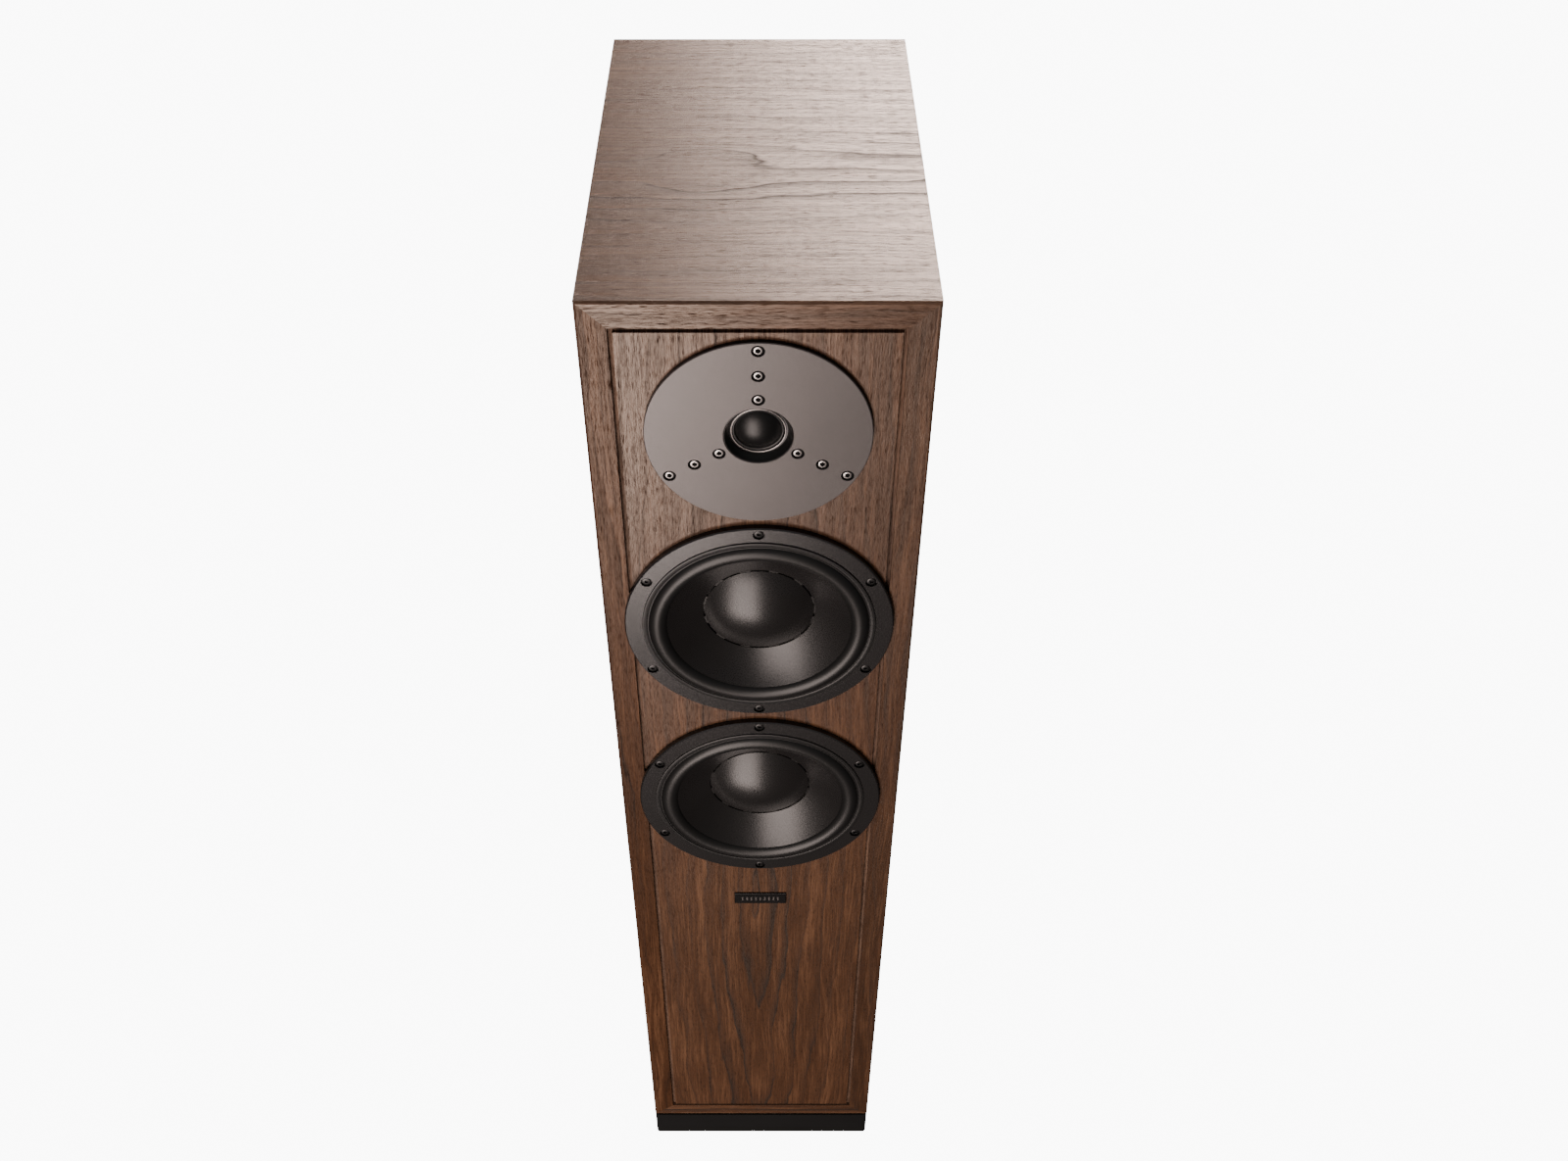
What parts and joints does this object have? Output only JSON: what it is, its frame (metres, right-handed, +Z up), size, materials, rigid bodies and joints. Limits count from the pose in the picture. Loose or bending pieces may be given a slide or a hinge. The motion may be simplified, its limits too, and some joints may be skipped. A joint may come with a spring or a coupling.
{
  "type": "floorstanding loudspeaker",
  "caption": "Slim floorstanding loudspeaker in framed walnut with a dome tweeter over stacked cone woofers, a rear port and screw-down binding posts.",
  "frame": {"origin": "on the floor, under the middle of the whole object's bounding box", "axes": "+Z up, the drivers face -Y, +X to the right seen from the back and to the right-hand side of the picture seen from the front; row units are metres"},
  "size_m": [0.208, 0.3594, 1.004],
  "materials": {
    "walnut_veneer": "satin open-pore veneer",
    "fibreboard": "black foil",
    "black_lacquer": "satin lacquer",
    "brass_insert": "machined",
    "black_steel": "black oxide",
    "black_rubber": "semi-matt",
    "cast_basket": "satin black paint",
    "cone_plastic": "satin",
    "spider_cloth": "woven",
    "coil_former": "wound wire",
    "magnet_steel": "zinc plated",
    "magnet": "sintered",
    "grey_aluminium": "satin anodised",
    "black_plastic": "satin",
    "dome_cloth": "coated cloth",
    "bright_steel": "bright",
    "dark_badge": "black anodised",
    "plated_brass": "gold plated",
    "red_plastic": "gloss",
    "knob_black": "gloss",
    "board": "circuit board",
    "copper_coil": "enamelled wire",
    "capacitor_film": "wrapped film",
    "ceramic": "ceramic",
    "cable": "flexible",
    "foam": "open-cell foam"
  },
  "bodies": {
    "cabinet": {"acoustic_lining": "foam", "back_panel": "fibreboard", "badge": "dark_badge", "black_post_stud": "plated_brass", "bottom_panel": "fibreboard", "cabinet_braces": "fibreboard", "crossover_board": "board", "crossover_capacitors": "capacitor_film", "crossover_coils": "copper_coil", "crossover_resistors": "ceramic", "frame_bottom_rail": "walnut_veneer", "frame_left_stile": "walnut_veneer", "frame_right_stile": "walnut_veneer", "frame_top_rail": "walnut_veneer", "front_baffle": "walnut_veneer", "left_side_panel": "walnut_veneer", "lower_woofer_basket": "cast_basket", "lower_woofer_magnet": "magnet", "lower_woofer_pole_plate": "magnet_steel", "lower_woofer_spider": "spider_cloth", "lower_woofer_surround": "black_rubber", "lower_woofer_yoke": "magnet_steel", "plinth": "black_lacquer", "plinth_bolts": "black_steel", "port_tube": "black_plastic", "red_post_stud": "plated_brass", "right_side_panel": "walnut_veneer", "rubber_pads": "black_rubber", "shadow_gap_spacer": "black_lacquer", "terminal_plate": "black_plastic", "terminal_plate_screws": "black_steel", "threaded_inserts": "brass_insert", "top_panel": "walnut_veneer", "tweeter_faceplate": "grey_aluminium", "tweeter_magnet": "magnet", "tweeter_mount_ring": "black_plastic", "tweeter_rear_chamber": "black_plastic", "tweeter_screws": "bright_steel", "tweeter_surround": "dome_cloth", "tweeter_yoke": "magnet_steel", "upper_woofer_basket": "cast_basket", "upper_woofer_magnet": "magnet", "upper_woofer_pole_plate": "magnet_steel", "upper_woofer_spider": "spider_cloth", "upper_woofer_surround": "black_rubber", "upper_woofer_yoke": "magnet_steel", "wiring_harness": "cable", "woofer_screws": "black_steel"},
    "upper_cone": {"upper_woofer_cone": "cone_plastic", "upper_woofer_dust_cap": "cone_plastic", "upper_woofer_voice_coil": "coil_former"},
    "lower_cone": {"lower_woofer_cone": "cone_plastic", "lower_woofer_dust_cap": "cone_plastic", "lower_woofer_voice_coil": "coil_former"},
    "tweeter_diaphragm": {"tweeter_dome": "dome_cloth", "tweeter_voice_coil": "coil_former"},
    "red_washer": {"red_post_washer": "plated_brass"},
    "red_knob": {"red_post_knob": "red_plastic"},
    "black_washer": {"black_post_washer": "plated_brass"},
    "black_knob": {"black_post_knob": "knob_black"}
  },
  "joints": [
    {"name": "upper_cone_travel", "type": "slide", "parent": "cabinet", "child": "upper_cone", "axis": [0, -1, 0], "range_m": [-0.007, 0.007], "stiffness_N_per_m": 1200, "deforming": ["upper_woofer_surround", "upper_woofer_spider"]},
    {"name": "lower_cone_travel", "type": "slide", "parent": "cabinet", "child": "lower_cone", "axis": [0, -1, 0], "range_m": [-0.007, 0.007], "stiffness_N_per_m": 1200, "deforming": ["lower_woofer_surround", "lower_woofer_spider"]},
    {"name": "tweeter_travel", "type": "slide", "parent": "cabinet", "child": "tweeter_diaphragm", "axis": [0, -1, 0], "range_m": [-0.0005, 0.0005], "stiffness_N_per_m": 2000, "deforming": ["tweeter_surround"]},
    {"name": "red_washer_slide", "type": "slide", "parent": "cabinet", "child": "red_washer", "axis": [0, 1, 0], "range_m": [0, 0.004]},
    {"name": "red_knob_turn", "type": "hinge", "parent": "red_washer", "child": "red_knob", "pos_m": [-0.02, 0.17, 0.15], "axis": [0, 1, 0], "range_deg": [0, 1440]},
    {"name": "black_washer_slide", "type": "slide", "parent": "cabinet", "child": "black_washer", "axis": [0, 1, 0], "range_m": [0, 0.004]},
    {"name": "black_knob_turn", "type": "hinge", "parent": "black_washer", "child": "black_knob", "pos_m": [0.02, 0.17, 0.15], "axis": [0, 1, 0], "range_deg": [0, 1440]}
  ],
  "couplings": [
    {"joint": "red_knob_turn", "follows": "red_washer_slide", "rad_per_m": 6283.2},
    {"joint": "black_knob_turn", "follows": "black_washer_slide", "rad_per_m": 6283.2}
  ]
}
